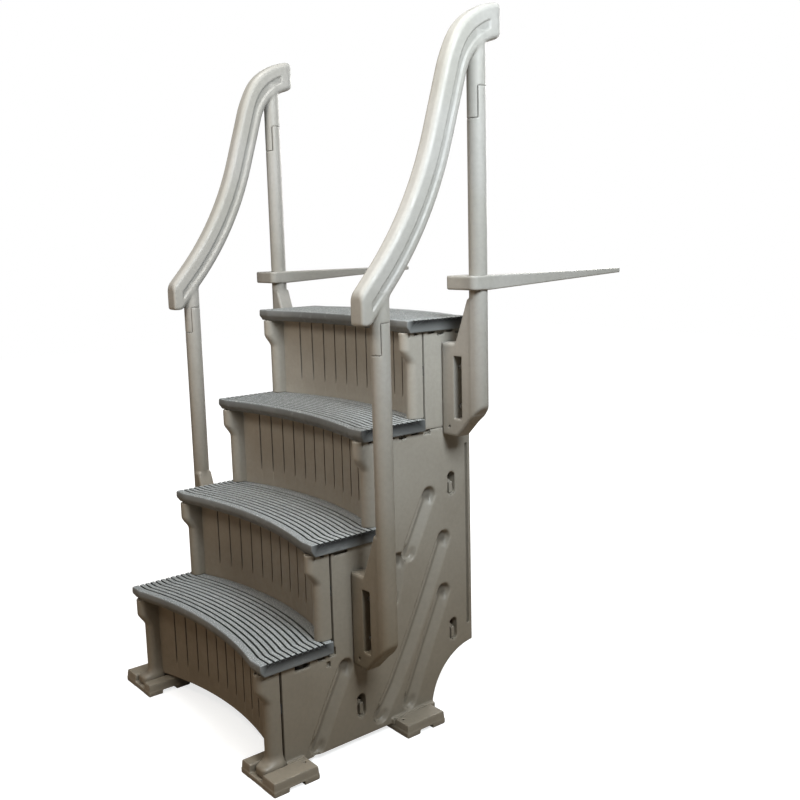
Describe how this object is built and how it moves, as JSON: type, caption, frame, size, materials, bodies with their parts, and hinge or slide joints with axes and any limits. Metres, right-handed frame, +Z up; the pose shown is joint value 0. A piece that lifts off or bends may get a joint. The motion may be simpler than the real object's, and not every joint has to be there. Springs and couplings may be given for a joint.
{
  "type": "pool ladder",
  "caption": "In-pool step ladder: curved grooved treads between hollow side panels, S-curved handrails on round posts, sliding deck arms and flat pad feet.",
  "frame": {"origin": "on the floor, at the centre of the rectangle of the four foot screw holes", "axes": "+X to the climber's right, +Y forward in the climbing direction (towards the deck), +Z up"},
  "size_m": [0.998, 1.109, 1.7644],
  "materials": {
    "body_plastic": "matte moulded, warm taupe",
    "rail_plastic": "matte moulded, light warm grey",
    "tread_plastic": "fine-textured dark grey",
    "plug_plastic": "black",
    "steel": "stainless, satin"
  },
  "bodies": {
    "frame": {"tread_1": "tread_plastic", "tread_2": "tread_plastic", "tread_3": "tread_plastic", "tread_4": "tread_plastic", "riser_1": "body_plastic", "riser_2": "body_plastic", "riser_3": "body_plastic", "riser_4": "body_plastic", "side_panel_right": "body_plastic", "side_panel_left": "body_plastic", "upper_panel_right": "body_plastic", "upper_panel_left": "body_plastic", "rear_panel_lower": "body_plastic", "rear_panel_upper": "body_plastic", "cross_tie_front": "body_plastic", "cross_tie_low": "body_plastic", "cross_tie_high": "body_plastic", "foot_front_right": "body_plastic", "foot_front_left": "body_plastic", "foot_rear_right": "body_plastic", "foot_rear_left": "body_plastic", "post_front_right": "rail_plastic", "post_front_left": "rail_plastic", "post_rear_right": "rail_plastic", "post_rear_left": "rail_plastic", "handrail_right": "rail_plastic", "handrail_left": "rail_plastic", "fill_plugs": "plug_plastic", "flange_bolts": "steel", "flange_nuts": "steel", "rail_joint_screws": "steel", "tread_screws": "steel", "foot_screws": "steel", "joint_clips": "body_plastic"},
    "arm_right": {"deck_arm_right": "rail_plastic", "arm_screw_right": "steel"},
    "arm_left": {"deck_arm_left": "rail_plastic", "arm_screw_left": "steel"}
  },
  "joints": [
    {"name": "arm_right_slide", "type": "slide", "parent": "frame", "child": "arm_right", "axis": [0, 0, 1], "range_m": [0, 0.3]},
    {"name": "arm_left_slide", "type": "slide", "parent": "frame", "child": "arm_left", "axis": [0, 0, 1], "range_m": [0, 0.3]}
  ]
}
